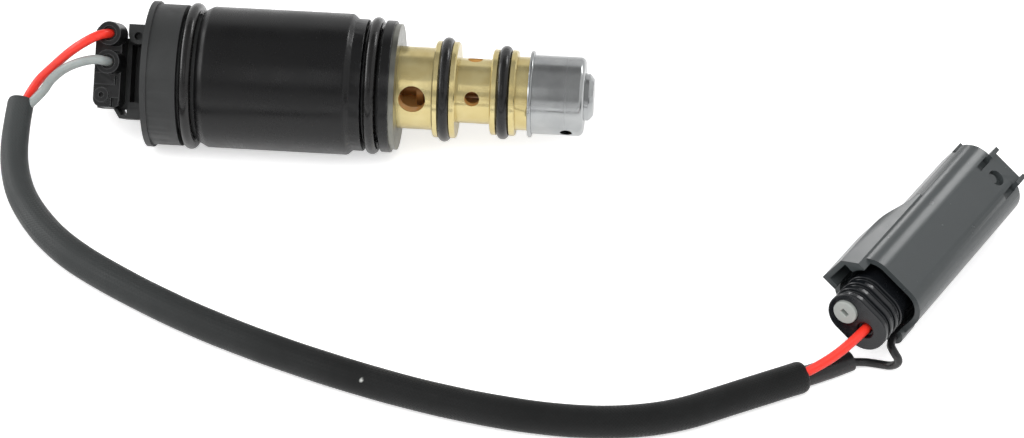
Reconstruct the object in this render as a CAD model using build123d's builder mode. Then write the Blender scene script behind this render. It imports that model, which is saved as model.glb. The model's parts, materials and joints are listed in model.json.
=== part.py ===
from build123d import *

import os
from math import cos, pi, radians, sin, tan

# A compressor control valve with its wiring harness, in millimetres.
# +X runs along the valve from its rear flange to its nose, +Z is up, and the
# origin is on the valve's axis in the rear face of the flange.

os.makedirs("parts", exist_ok=True)

# Running and seating clearances
SEAT_GAP = 0.05
RUNNING_GAP = 0.06
FREE_GAP = 0.3

# Coil housing, a turned steel can
HOUSING_R = 14.25
HOUSING_REAR = 10.6
HOUSING_STEP = 0.95
HOUSING_REAR_R = HOUSING_R - HOUSING_STEP
HOUSING_TAPER = 1.7
HOUSING_SHOULDER = 40.6
LAND_R = HOUSING_R - HOUSING_STEP
LAND_SLOPE = 1.0
HOUSING_BLEND = 1.0
HOUSING_FRONT = 49.4
CAN_WALL = 1.75
CAN_FLOOR = 41.7
SPIGOT_SEAT = 1.5

# Rear cap, a moulded flange that carries the socket
CAP_R = HOUSING_R
CAP_END = 7.0
FLANGE_LIP = 0.5
FLANGE_R = CAP_R + FLANGE_LIP
FLANGE_T = 1.2

# O-rings: centre along X, outer radius
RING_SECTION_R = 1.2
REAR_RING_X = 8.8
RING_PROUD = 0.55
REAR_RING_R = HOUSING_R + RING_PROUD
FRONT_RING_X = 45.6
FRONT_RING_R = LAND_R + RING_PROUD
LARGE_RING_X = 60.02
LARGE_RING_R = 10.55
SMALL_RING_X = 71.75
SMALL_RING_R = 9.45
FRONT_GROOVE_W = 3.6

# Coil, guide sleeve and armature
SLEEVE_R = 6.3
SLEEVE_WALL = 0.5
SLEEVE_REAR = 14.2
BOBBIN_REAR = 13.9
BOBBIN_WALL = 0.8
BOBBIN_CHEEK = 1.2
WINDING_COVER = 0.8
WINDING_R = HOUSING_R - CAN_WALL - WINDING_COVER
CORE_REAR = 31.0
PLUNGER_LENGTH = 12.0
STROKE = 0.6
STROKE_SPARE = 0.4
ROD_R = 1.5
SPRING_WIRE_R = 0.35
PLUNGER_SPRING_R = 2.7
PLUNGER_SPRING_TURNS = 4
PLUNGER_POCKET_R = 3.4
PLUNGER_POCKET_DEPTH = 5.0

# Front plate and turned brass body
PLATE_INSET = 0.6
PLATE_R = LAND_R - PLATE_INSET
PLATE_T = 1.1
SPIGOT_R = 6.5
SECTION_A_R = 8.3
SECTION_A_END = 57.7
LARGE_FLANGE_R = 9.75
LARGE_FLANGE_T = 1.1
LARGE_GROOVE_END = 61.25
NECK_B_R = 6.55
NECK_B_END = 69.25
SMALL_FLANGE_R = 8.65
SMALL_FLANGE_T = 1.15
SMALL_GROOVE_END = 73.1
NECK_C_R = 7.4
NECK_C_END = 76.75
BODY_EDGE = 0.25
LARGE_PORT_R = 2.7
LARGE_PORT_X = 53.75
LARGE_PORT_COUNT = 2
LARGE_PORT_ANGLE = 21.0
SMALL_PORT_R = 1.5
SMALL_PORT_X = 65.6
SMALL_PORT_COUNT = 4
SMALL_PORT_ANGLE = 23.0
CHAMBER_A_R = 5.2
CHAMBER_B_R = 4.2
SEAT_BORE_R = 2.4
GUIDE_END = 50.6
SEAT_SLOPE = 1.0
HEAD_SET_BACK = 1.5
HEAD_LENGTH = 1.4
HEAD_LAP = 1.0

# Drawn end cap with the bellows inside
END_CAP_WALL = 0.7
END_CAP_LIP_R = 8.75
END_CAP_LIP_T = 0.8
END_CAP_LIP_EDGE = 0.3
END_CAP_R = 7.95
END_CAP_END = 87.9
END_CAP_CORNER = 1.1
NOSE_R = 4.75
NOSE_TIP_R = 3.75
NOSE_END = 89.7
NOSE_CHAMFER = 0.9
BREATHER_R = 1.2
BREATHER_X = 84.6
BREATHER_ANGLE = -31.0
SPIGOT_C_END = 79.2
BELLOWS_R = 5.6
BELLOWS_ROOT_R = 4.4
BELLOWS_WALL = 0.25
BELLOWS_PITCH = 1.4
BELLOWS_FOLDS = 4
BELLOWS_REAR = 80.4
BELLOWS_SPRING_R = 3.1
BELLOWS_SPRING_TURNS = 3
STOP_R = 5.2
STOP_T = 0.8

# Socket on the rear cap, seen along the wires: y across, z towards the wires
WIRE_SIDE_ANGLE = 40.0
SOCKET_DEPTH_X = 11.5
SOCKET_TOP = 7.0
SOCKET_BOTTOM = -7.4
SOCKET_FLOOR = -9.4
SOCKET_RIM = -3.4
SOCKET_WALL = 0.9
TROUGH_X = 4.9
TROUGH_WALL = 1.4
TROUGH_FLOOR = -8.6
RIM_WALL_TOP = 0.8
RIM_WALL_Y = 7.8
FOOT_WALL_TOP = -1.2
EAR_TOP = 1.9
EAR_Y = 7.75
EAR_X = -2.9
EAR_R = 2.0
EAR_HOLE_R = 0.8
EAR_HOLE_DROP = 0.4
CATCH_OUTLINE = [(-7.7, -7.4), (-6.4, -9.4), (-2.3, -9.4), (-1.3, -8.6), (-1.3, -7.4)]
CATCH_WINDOW = [(-6.9, -7.4), (-6.1, -8.7), (-4.9, -8.7), (-4.9, -7.4)]
CATCH_TOP = -0.6

# Plug that the valve's socket takes
PLUG_LEFT = -11.3
PLUG_RIGHT = -5.9
PLUG_TOP = 9.3
PLUG_BOTTOM = -7.35
PLUG_CORNER = 1.7
PLUG_FRONT = 3.0
PLUG_LEAN = 6.0
BOSS_X = -7.4
BOSS_Y = 7.4
BOSS_PITCH = 5.7
BOSS_R = 2.4
BOSS_BORE_R = 1.45
BOSS_FACE = 4.5
BOSS_ROOT = 1.0
BOSS_BORE_DEPTH = 7.0
WIRE_SEAL_LENGTH = 1.8
WIRE_SEAL_SUNK = 0.5
PLUG_LUG_X = -9.5
PLUG_LUG_Y = -4.9
PLUG_LUG_R = 1.5
PLUG_LUG_RISE = 0.9
PLUG_LUG_HOLE_R = 0.5
PLUG_POCKET_X = -6.9
PLUG_POCKET_Y = -6.5
PLUG_POCKET_W = 1.4
PLUG_POCKET_H = 2.2
PLUG_POCKET_DEPTH = 1.6
PLUG_SHELF_Y = -1.6
PLUG_SHELF_H = 2.4
PLUG_SHELF_W = 4.2
PLUG_SHELF_RISE = 1.3
PLUG_NOSE_PLAY = 0.4
LEAD_END_Z = 0.8
TERMINAL_R = 0.95
PIN_R = 0.4
PIN_LENGTH = 4.5

# Leads, sleeve and tubing
LEAD_R = 0.95
BLACK_LEAD_R = 0.8
HARNESS_R = 3.1
SHRINK_R = 2.0

# Harness connector. Its frame has z forward, y out of the latch face
CONNECTOR_MOUTH = (147.0, -53.2, -3.0)
CONNECTOR_HEADING = 63.5
CONNECTOR_PITCH = 4.0
CONNECTOR_ROLL = 32.0
BARREL_W = 16.5
BARREL_H = 14.5
BARREL_CORNER = 5.0
BARREL_LENGTH = 44.6
HOOD_WALL = 1.1
HOOD_DEPTH = 10.0
SOCKET_DEPTH = 16.0
SOCKET_SIDE = 1.6
WING_PROUD = 1.95
WING_INNER = 5.9
WING_REACH = 2.6
WING_END = 12.0
WING_RAMP_END = 24.0
WING_WALL = 1.1
WING_BOTTOM = -3.5
WING_TOP = 5.4
WING_SLOPE = 2.6
LATCH_X = -1.1
LATCH_HALF = 3.7
LATCH_SLOT_W = 1.2
LATCH_SLOT_START = 39.3
LATCH_SLOT_END = 43.5
LATCH_HOLE_R = 1.7
LATCH_HOLE_Z = 41.2
LATCH_RECESS = 1.3
LATCH_DOME_R = 1.1
LATCH_DOME_SHIFT = 0.5
LATCH_DOME_SUNK = 0.5
LATCH_ROOT = 1.0
LATCH_TAB_OUT = 1.8
LATCH_TAB_T = 1.3
LATCH_EAR_W = 0.9
LATCH_EAR_OUT = 2.2
LATCH_EAR_PROUD = 0.95
SEAL_W = 12.6
SEAL_H = 9.3
SEAL_CORNER = 4.4
SEAL_OUT = 8.5
SEAL_RIB = 1.2
SEAL_RIB_DEPTH = 0.65
SEAL_RIB_PITCH = 2.15
SEAL_RIBS = 4
CAVITY_PLUG_X = 2.9
CAVITY_PLUG_R = 2.35
CAVITY_PLUG_KEY = (1.4, 0.9, 1.2)
CAVITY_PLUG_OUT = 0.6
CAVITY_PLUG_LENGTH = 5.0
CAVITY_LEAD_X = -2.1
CAVITY_REBATE_R = 1.6
CAVITY_REBATE = 0.8
CAVITY_LEAD_DEPTH = 4.0
CRIMP_R = 1.15
CRIMP_LENGTH = 8.0
BLADE_W = 1.5
BLADE_T = 0.64
BLADE_REACH = 10.0
GLAND_X = -7.2
GLAND_Y = -2.4
GLAND_R = 1.75
GLAND_OUT = 1.2
GLAND_DEPTH = 2.6
GLAND_FLOOR = 1.5
NUB_X = 8.0
NUB_Y = 3.2
NUB_SIZE = 0.8
NUB_START = 42.5
NUB_END = 45.4
NOTCH_Y = 1.5
NOTCH_Z = 37.0
NOTCH_SIZE = 1.3

# Routes, chosen by hand, from the valve towards the connector
RED_LEAD_ROUTE = [
    (-7.49, 1.80, 8.15),
    (-7.91, -1.27, 10.73),
    (-10.22, -3.03, 11.23),
    (-15.27, -3.66, 7.74),
    (-19.74, -2.60, 2.36),
    (-23.92, -2.47, -2.29),
    (-26.3, -6.2, -6.2),
]
GREY_LEAD_ROUTE = [
    (-7.49, -1.86, 3.78),
    (-7.91, -4.94, 6.36),
    (-10.45, -5.80, 7.60),
    (-16.03, -5.17, 4.86),
    (-19.90, -4.83, 0.92),
    (-21.5, -5.3, -2.05),
    (-24.65, -7.1, -4.55),
]
HARNESS_ROUTE = [
    (-26.1, -5.5, -4.0),
    (-26.6, -11.8, -7.8),
    (-25.5, -19.8, -10.8),
    (-21.6, -29.4, -11.7),
    (-12.4, -41.6, -11.7),
    (1.5, -51.6, -11.7),
    (20.5, -62.4, -11.7),
    (44.0, -72.2, -11.7),
    (68.0, -79.6, -11.7),
    (91.0, -83.0, -11.7),
    (108.5, -80.7, -11.7),
    (122.0, -73.0, -11.7),
    (134.0, -66.3, -11.7),
]
RED_LEAD_PLUG_ROUTE = [
    (132.6, -67.4, -11.0),
    (137.87, -66.28, -8.26),
    (144.11, -62.99, -3.42),
    (146.56, -58.08, -3.80),
]
SHRINK_ROUTE = [
    (133.4, -65.6, -12.8),
    (138.4, -63.0, -12.8),
    (142.6, -60.0, -12.8),
]
BLACK_LEAD_ROUTE = [
    (141.8, -60.6, -12.8),
    (144.9, -59.2, -13.6),
    (148.0, -59.4, -13.8),
    (150.6, -60.5, -13.2),
    (151.9, -61.5, -11.0),
    (150.6, -61.2, -9.0),
    (149.6, -58.82, -8.6),
    (151.77, -54.47, -8.93),
]

# The valve's axis, and the frame of its rear socket: x along the valve,
# y across the pair of wires, z the way the wires leave.
SOCKET_FRAME = Plane(
    origin=(0, 0, 0),
    x_dir=(1, 0, 0),
    z_dir=(0, -cos(radians(WIRE_SIDE_ANGLE)), sin(radians(WIRE_SIDE_ANGLE))),
)


def turned(*points, mode=Mode.ADD):
    """Turns a closed outline of (X, radius) points about the valve's axis."""
    with BuildSketch(Plane.XZ) as outline:
        with BuildLine():
            Polyline(*points, close=True)
        make_face()
    revolve(outline.sketch, axis=Axis.X, mode=mode)


def o_ring(centre_x, outer_r):
    """A rubber ring of round section about the valve's axis."""
    with BuildSketch(Plane.XZ) as section:
        with Locations((centre_x, outer_r - RING_SECTION_R)):
            Circle(RING_SECTION_R)
    revolve(section.sketch, axis=Axis.X)


def coil_spring(start_x, length, mean_r, turns):
    """A round-wire spring about the valve's axis."""
    with BuildLine() as coil:
        Helix(
            pitch=length / turns,
            height=length,
            radius=mean_r,
            center=(start_x, 0, 0),
            direction=(1, 0, 0),
        )
    with BuildSketch(Plane(origin=coil.line @ 0, z_dir=coil.line % 0)) as wire:
        Circle(SPRING_WIRE_R)
    sweep(wire.sketch, path=coil.line, is_frenet=True)


def bend_radii(points):
    """The radius at each inner point: 0.45 of its shorter run over the tangent of half its turn."""
    radii = []
    for before, corner, after in zip(points, points[1:], points[2:]):
        run_in, run_out = Vector(corner) - Vector(before), Vector(after) - Vector(corner)
        turn = radians(run_in.get_angle(run_out))
        radii.append(0.45 * min(run_in.length, run_out.length) / tan(turn / 2))
    return radii


def tube(name, points, radius):
    """A plain tube along straight runs joined by tangent arcs."""
    radii = bend_radii(points)
    with BuildLine() as path:
        FilletPolyline(*points, radius=radii)
    with BuildSketch(Plane(origin=path.line @ 0, z_dir=path.line % 0)) as section:
        Circle(radius)
    sweep(section.sketch, path=path.line)
    length = path.wires()[0].length
    print(name, "radii", [round(r, 1) for r in radii], "length", round(length, 1))
    print(name, "section times length", round(pi * radius**2 * length, 1))


def side_plane(x, angle_deg, offset):
    """A plane at X that faces out from the valve's axis, at an angle above -Y."""
    angle = radians(angle_deg)
    outward = (0, -cos(angle), sin(angle))
    return Plane(origin=(x, 0, 0), x_dir=(1, 0, 0), z_dir=outward).offset(offset)


def rim(solid, x, radius):
    """The round edges of a turned piece at one X and radius."""
    return solid.edges().filter_by(GeomType.CIRCLE).filter_by(
        lambda e: abs(e.radius - radius) < 1e-3 and abs(e.center().X - x) < 1e-3
    )


def save(name, solid):
    """Labels a finished piece and writes it."""
    solid.label = name
    export_step(solid, f"parts/{name}.step")


# Rear cap: flange, neck of the ring groove, spigot in the can, socket tower
can_r = HOUSING_R - CAN_WALL
rear_groove_r = REAR_RING_R - 2 * RING_SECTION_R - SEAT_GAP
cap_spigot_r = can_r - SEAT_GAP
with BuildPart() as rear_cap:
    turned(
        (0, 0),
        (0, FLANGE_R),
        (FLANGE_T, FLANGE_R),
        (FLANGE_T, CAP_R),
        (CAP_END, CAP_R),
        (CAP_END, rear_groove_r),
        (HOUSING_REAR, rear_groove_r),
        (HOUSING_REAR, cap_spigot_r),
        (BOBBIN_REAR, cap_spigot_r),
        (BOBBIN_REAR, 0),
    )
    with BuildSketch(SOCKET_FRAME.offset(SOCKET_FLOOR - SOCKET_WALL)):
        with Locations((-SOCKET_DEPTH_X / 2, (SOCKET_TOP + SOCKET_BOTTOM) / 2)):
            Rectangle(SOCKET_DEPTH_X, SOCKET_TOP - SOCKET_BOTTOM)
    extrude(amount=SOCKET_RIM - SOCKET_FLOOR + SOCKET_WALL)
    # the ear, a thin wall beside it and the foot wall stand on the socket block
    with BuildSketch(SOCKET_FRAME.offset(SOCKET_RIM)):
        with Locations((EAR_X, EAR_Y)):
            Circle(EAR_R)
            Rectangle(EAR_R, EAR_R, align=(Align.MAX, Align.MIN))
            Rectangle(-EAR_X, 2 * EAR_R, align=(Align.MIN, Align.CENTER))
    extrude(amount=EAR_TOP - SOCKET_RIM)
    with BuildSketch(SOCKET_FRAME.offset(SOCKET_RIM)):
        with Locations((EAR_X, RIM_WALL_Y)):
            Rectangle(TROUGH_X + EAR_X, TROUGH_WALL, align=(Align.MAX, Align.MAX))
    extrude(amount=RIM_WALL_TOP - SOCKET_RIM)
    with BuildSketch(SOCKET_FRAME.offset(SOCKET_RIM)):
        with Locations((0, SOCKET_BOTTOM)):
            Rectangle(TROUGH_X, TROUGH_WALL, align=(Align.MAX, Align.MIN))
    extrude(amount=FOOT_WALL_TOP - SOCKET_RIM)
    with BuildSketch(SOCKET_FRAME.offset(EAR_TOP)):
        with Locations((EAR_X, EAR_Y - EAR_HOLE_DROP)):
            Circle(EAR_HOLE_R)
    extrude(amount=-EAR_R, mode=Mode.SUBTRACT)
    # a deep trough between the socket and the flange
    with BuildSketch(SOCKET_FRAME.offset(TROUGH_FLOOR)):
        with Locations((0, SOCKET_BOTTOM + TROUGH_WALL)):
            Rectangle(
                TROUGH_X,
                EAR_Y - EAR_R - SOCKET_BOTTOM - TROUGH_WALL,
                align=(Align.MAX, Align.MIN),
            )
    extrude(amount=SOCKET_RIM - TROUGH_FLOOR, mode=Mode.SUBTRACT)
    # the catch bracket under the socket, with a window
    with BuildSketch(SOCKET_FRAME.offset(SOCKET_FLOOR)):
        with BuildLine():
            Polyline(*CATCH_OUTLINE, close=True)
        make_face()
        with BuildLine():
            Polyline(*CATCH_WINDOW, close=True)
        make_face(mode=Mode.SUBTRACT)
    extrude(amount=CATCH_TOP - SOCKET_FLOOR)
    with BuildSketch(SOCKET_FRAME.offset(SOCKET_FLOOR)):
        with Locations(((PLUG_LEFT + PLUG_RIGHT) / 2, (SOCKET_TOP + SOCKET_BOTTOM) / 2)):
            Rectangle(
                PLUG_RIGHT - PLUG_LEFT - 2 * SOCKET_WALL,
                SOCKET_TOP - SOCKET_BOTTOM - 2 * SOCKET_WALL,
            )
    extrude(amount=SOCKET_RIM - SOCKET_FLOOR, mode=Mode.SUBTRACT)
save("rear_cap", rear_cap.part)

# Coil housing: taper at the rear, a rounded shoulder, the front ring's groove
front_groove_r = FRONT_RING_R - 2 * RING_SECTION_R - SEAT_GAP
spigot_bore_r = SPIGOT_R + SEAT_GAP
with BuildPart() as coil_housing:
    turned(
        (HOUSING_REAR, can_r),
        (HOUSING_REAR, HOUSING_REAR_R),
        (HOUSING_REAR + HOUSING_TAPER, HOUSING_R),
        (HOUSING_SHOULDER, HOUSING_R),
        (HOUSING_SHOULDER + LAND_SLOPE, LAND_R),
        (HOUSING_FRONT, LAND_R),
        (HOUSING_FRONT, spigot_bore_r),
        (CAN_FLOOR, spigot_bore_r),
        (CAN_FLOOR, can_r),
    )
    turned(
        (FRONT_RING_X - FRONT_GROOVE_W / 2, front_groove_r),
        (FRONT_RING_X - FRONT_GROOVE_W / 2, HOUSING_R),
        (FRONT_RING_X + FRONT_GROOVE_W / 2, HOUSING_R),
        (FRONT_RING_X + FRONT_GROOVE_W / 2, front_groove_r),
        mode=Mode.SUBTRACT,
    )
    shoulder = rim(coil_housing, HOUSING_SHOULDER, HOUSING_R)
    taper_end = rim(coil_housing, HOUSING_REAR + HOUSING_TAPER, HOUSING_R)
    fillet(shoulder + taper_end, HOUSING_BLEND)
save("coil_housing", coil_housing.part)

# The four O-rings
with BuildPart() as rear_o_ring:
    o_ring(REAR_RING_X, REAR_RING_R)
save("rear_o_ring", rear_o_ring.part)

with BuildPart() as front_o_ring:
    o_ring(FRONT_RING_X, FRONT_RING_R)
save("front_o_ring", front_o_ring.part)

with BuildPart() as body_o_ring_large:
    o_ring(LARGE_RING_X, LARGE_RING_R)
save("body_o_ring_large", body_o_ring_large.part)

with BuildPart() as body_o_ring_small:
    o_ring(SMALL_RING_X, SMALL_RING_R)
save("body_o_ring_small", body_o_ring_small.part)

# Bobbin with two cheeks, and the copper winding between them
bobbin_bore_r = SLEEVE_R + SEAT_GAP
bobbin_r = bobbin_bore_r + BOBBIN_WALL
cheek_r = can_r - SEAT_GAP
bobbin_front = CAN_FLOOR
with BuildPart() as coil_bobbin:
    turned(
        (BOBBIN_REAR, bobbin_bore_r),
        (BOBBIN_REAR, cheek_r),
        (BOBBIN_REAR + BOBBIN_CHEEK, cheek_r),
        (BOBBIN_REAR + BOBBIN_CHEEK, bobbin_r),
        (bobbin_front - BOBBIN_CHEEK, bobbin_r),
        (bobbin_front - BOBBIN_CHEEK, cheek_r),
        (bobbin_front, cheek_r),
        (bobbin_front, bobbin_bore_r),
    )
save("coil_bobbin", coil_bobbin.part)

with BuildPart() as coil_winding:
    turned(
        (BOBBIN_REAR + BOBBIN_CHEEK, bobbin_r),
        (BOBBIN_REAR + BOBBIN_CHEEK, WINDING_R),
        (bobbin_front - BOBBIN_CHEEK, WINDING_R),
        (bobbin_front - BOBBIN_CHEEK, bobbin_r),
    )
save("coil_winding", coil_winding.part)

# Thin guide sleeve, closed at the rear, that the plunger slides in
sleeve_bore_r = SLEEVE_R - SLEEVE_WALL
spigot_rear = CAN_FLOOR + SPIGOT_SEAT
with BuildPart() as guide_sleeve:
    turned(
        (SLEEVE_REAR, 0),
        (SLEEVE_REAR, SLEEVE_R),
        (spigot_rear, SLEEVE_R),
        (spigot_rear, sleeve_bore_r),
        (SLEEVE_REAR + SLEEVE_WALL, sleeve_bore_r),
        (SLEEVE_REAR + SLEEVE_WALL, 0),
    )
save("guide_sleeve", guide_sleeve.part)

# Fixed core, bored for the push rod
rod_bore_r = ROD_R + RUNNING_GAP
with BuildPart() as fixed_core:
    turned(
        (CORE_REAR, rod_bore_r),
        (CORE_REAR, sleeve_bore_r),
        (spigot_rear, sleeve_bore_r),
        (spigot_rear, rod_bore_r),
    )
save("fixed_core", fixed_core.part)

# Plunger with a pocket for its spring
plunger_front = CORE_REAR - STROKE - STROKE_SPARE
plunger_rear = plunger_front - PLUNGER_LENGTH
plunger_r = sleeve_bore_r - RUNNING_GAP
pocket_floor = plunger_front - PLUNGER_POCKET_DEPTH
with BuildPart() as plunger:
    turned(
        (plunger_rear, ROD_R),
        (plunger_rear, plunger_r),
        (plunger_front, plunger_r),
        (plunger_front, PLUNGER_POCKET_R),
        (pocket_floor, PLUNGER_POCKET_R),
        (pocket_floor, ROD_R),
    )
save("plunger", plunger.part)

with BuildPart() as plunger_spring:
    coil_spring(
        pocket_floor + SPRING_WIRE_R,
        CORE_REAR - pocket_floor - 2 * SPRING_WIRE_R,
        PLUNGER_SPRING_R,
        PLUNGER_SPRING_TURNS,
    )
save("plunger_spring", plunger_spring.part)

# Push rod from the plunger to the bellows stop, with the valve's head on it
head_front = SECTION_A_END - HEAD_SET_BACK - STROKE
head_r = SEAT_BORE_R + HEAD_LAP
rod_front = BELLOWS_REAR - STOP_T - STROKE - FREE_GAP
with BuildPart() as push_rod:
    turned(
        (plunger_rear, 0),
        (plunger_rear, ROD_R),
        (head_front - HEAD_LENGTH, ROD_R),
        (head_front - HEAD_LENGTH, head_r),
        (head_front, head_r),
        (head_front, ROD_R),
        (rod_front, ROD_R),
        (rod_front, 0),
    )
save("push_rod", push_rod.part)

# Bright front plate between the housing and the brass body
plate_front = HOUSING_FRONT + PLATE_T
with BuildPart() as front_plate:
    turned(
        (HOUSING_FRONT, spigot_bore_r),
        (HOUSING_FRONT, PLATE_R),
        (plate_front, PLATE_R),
        (plate_front, spigot_bore_r),
    )
save("front_plate", front_plate.part)

# Turned brass body, with two ring grooves and two rows of radial ports
large_groove_r = LARGE_RING_R - 2 * RING_SECTION_R - SEAT_GAP
small_groove_r = SMALL_RING_R - 2 * RING_SECTION_R - SEAT_GAP
end_cap_bore_r = END_CAP_R - END_CAP_WALL
with BuildPart() as valve_body:
    turned(
        (spigot_rear, 0),
        (spigot_rear, SPIGOT_R),
        (plate_front, SPIGOT_R),
        (plate_front, SECTION_A_R),
        (SECTION_A_END, SECTION_A_R),
        (SECTION_A_END, LARGE_FLANGE_R - BODY_EDGE),
        (SECTION_A_END + BODY_EDGE, LARGE_FLANGE_R),
        (SECTION_A_END + LARGE_FLANGE_T, LARGE_FLANGE_R),
        (SECTION_A_END + LARGE_FLANGE_T, large_groove_r),
        (LARGE_GROOVE_END, large_groove_r),
        (LARGE_GROOVE_END, LARGE_FLANGE_R),
        (LARGE_GROOVE_END + LARGE_FLANGE_T - BODY_EDGE, LARGE_FLANGE_R),
        (LARGE_GROOVE_END + LARGE_FLANGE_T, LARGE_FLANGE_R - BODY_EDGE),
        (LARGE_GROOVE_END + LARGE_FLANGE_T, NECK_B_R),
        (NECK_B_END, NECK_B_R),
        (NECK_B_END, SMALL_FLANGE_R - BODY_EDGE),
        (NECK_B_END + BODY_EDGE, SMALL_FLANGE_R),
        (NECK_B_END + SMALL_FLANGE_T, SMALL_FLANGE_R),
        (NECK_B_END + SMALL_FLANGE_T, small_groove_r),
        (SMALL_GROOVE_END, small_groove_r),
        (SMALL_GROOVE_END, SMALL_FLANGE_R),
        (SMALL_GROOVE_END + SMALL_FLANGE_T - BODY_EDGE, SMALL_FLANGE_R),
        (SMALL_GROOVE_END + SMALL_FLANGE_T, SMALL_FLANGE_R - BODY_EDGE),
        (SMALL_GROOVE_END + SMALL_FLANGE_T, NECK_C_R),
        (NECK_C_END, NECK_C_R),
        (NECK_C_END, end_cap_bore_r),
        (SPIGOT_C_END, end_cap_bore_r),
        (SPIGOT_C_END, 0),
    )
    # the bore: rod guide, chamber A, valve seat, chamber B, second guide, mouth
    turned(
        (spigot_rear, 0),
        (spigot_rear, rod_bore_r),
        (GUIDE_END, rod_bore_r),
        (GUIDE_END, CHAMBER_A_R),
        (SECTION_A_END - SEAT_SLOPE, CHAMBER_A_R),
        (SECTION_A_END, SEAT_BORE_R),
        (LARGE_GROOVE_END + LARGE_FLANGE_T, SEAT_BORE_R),
        (LARGE_GROOVE_END + LARGE_FLANGE_T, CHAMBER_B_R),
        (NECK_B_END, CHAMBER_B_R),
        (NECK_B_END, rod_bore_r),
        (SMALL_GROOVE_END, rod_bore_r),
        (SMALL_GROOVE_END, BELLOWS_ROOT_R),
        (SPIGOT_C_END, BELLOWS_ROOT_R),
        (SPIGOT_C_END, 0),
        mode=Mode.SUBTRACT,
    )
    for port_x, port_r, wall_r, count, first in (
        (LARGE_PORT_X, LARGE_PORT_R, SECTION_A_R, LARGE_PORT_COUNT, LARGE_PORT_ANGLE),
        (SMALL_PORT_X, SMALL_PORT_R, NECK_B_R, SMALL_PORT_COUNT, SMALL_PORT_ANGLE),
    ):
        for number in range(count):
            with BuildSketch(side_plane(port_x, first + 360 / count * number, ROD_R + FREE_GAP)):
                Circle(port_r)
            extrude(amount=wall_r, mode=Mode.SUBTRACT)
save("valve_body", valve_body.part)

# Bellows: a thin corrugated wall, closed by a stop plate at its rear
bellows_front = BELLOWS_REAR + BELLOWS_FOLDS * BELLOWS_PITCH
outer_wall = [(BELLOWS_REAR, BELLOWS_ROOT_R)]
for fold in range(BELLOWS_FOLDS):
    outer_wall.append((BELLOWS_REAR + (fold + 0.5) * BELLOWS_PITCH, BELLOWS_R))
    outer_wall.append((BELLOWS_REAR + (fold + 1) * BELLOWS_PITCH, BELLOWS_ROOT_R))
inner_wall = [(x, r - BELLOWS_WALL) for x, r in reversed(outer_wall)]
with BuildPart() as bellows:
    turned(*outer_wall, *inner_wall)
save("bellows", bellows.part)

with BuildPart() as bellows_stop:
    turned(
        (BELLOWS_REAR - STOP_T, 0),
        (BELLOWS_REAR - STOP_T, STOP_R),
        (BELLOWS_REAR, STOP_R),
        (BELLOWS_REAR, 0),
    )
save("bellows_stop", bellows_stop.part)

with BuildPart() as bellows_spring:
    coil_spring(
        BELLOWS_REAR + SPRING_WIRE_R,
        bellows_front - BELLOWS_REAR - 2 * SPRING_WIRE_R,
        BELLOWS_SPRING_R,
        BELLOWS_SPRING_TURNS,
    )
save("bellows_spring", bellows_spring.part)

# Drawn steel end cap with a rolled lip, a rounded corner and a nose
cap_floor = bellows_front
with BuildPart() as end_cap:
    turned(
        (NECK_C_END, end_cap_bore_r),
        (NECK_C_END, END_CAP_LIP_R),
        (NECK_C_END + END_CAP_LIP_T, END_CAP_LIP_R),
        (NECK_C_END + END_CAP_LIP_T, END_CAP_R),
        (END_CAP_END, END_CAP_R),
        (END_CAP_END, NOSE_R),
        (NOSE_END - NOSE_CHAMFER, NOSE_R),
        (NOSE_END, NOSE_TIP_R),
        (NOSE_END, 0),
        (cap_floor, 0),
        (cap_floor, end_cap_bore_r),
    )
    fillet(rim(end_cap, END_CAP_END, END_CAP_R), END_CAP_CORNER)
    lip_rear = rim(end_cap, NECK_C_END, END_CAP_LIP_R)
    lip_front = rim(end_cap, NECK_C_END + END_CAP_LIP_T, END_CAP_LIP_R)
    fillet(lip_rear + lip_front, END_CAP_LIP_EDGE)
    with BuildSketch(side_plane(BREATHER_X, BREATHER_ANGLE, BELLOWS_R + FREE_GAP)):
        Circle(BREATHER_R)
    extrude(amount=END_CAP_R, mode=Mode.SUBTRACT)
save("end_cap", end_cap.part)

# Plug in the valve's socket: a flat housing with two wire bosses and a latch
plug_mid = (PLUG_LEFT + PLUG_RIGHT) / 2
socket_mid = (SOCKET_TOP + SOCKET_BOTTOM) / 2
boss_frame = Plane(
    origin=SOCKET_FRAME.from_local_coords(Vector(BOSS_X, 0, PLUG_FRONT)),
    x_dir=SOCKET_FRAME.x_dir * cos(radians(PLUG_LEAN)) + SOCKET_FRAME.z_dir * sin(radians(PLUG_LEAN)),
    z_dir=SOCKET_FRAME.z_dir * cos(radians(PLUG_LEAN)) - SOCKET_FRAME.x_dir * sin(radians(PLUG_LEAN)),
)
boss_spots = [(0, BOSS_Y), (0, BOSS_Y - BOSS_PITCH)]
pin_spots = [(plug_mid, socket_mid + BOSS_PITCH / 2), (plug_mid, socket_mid - BOSS_PITCH / 2)]
plug_nose_end = SOCKET_FLOOR + PLUG_NOSE_PLAY
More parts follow.
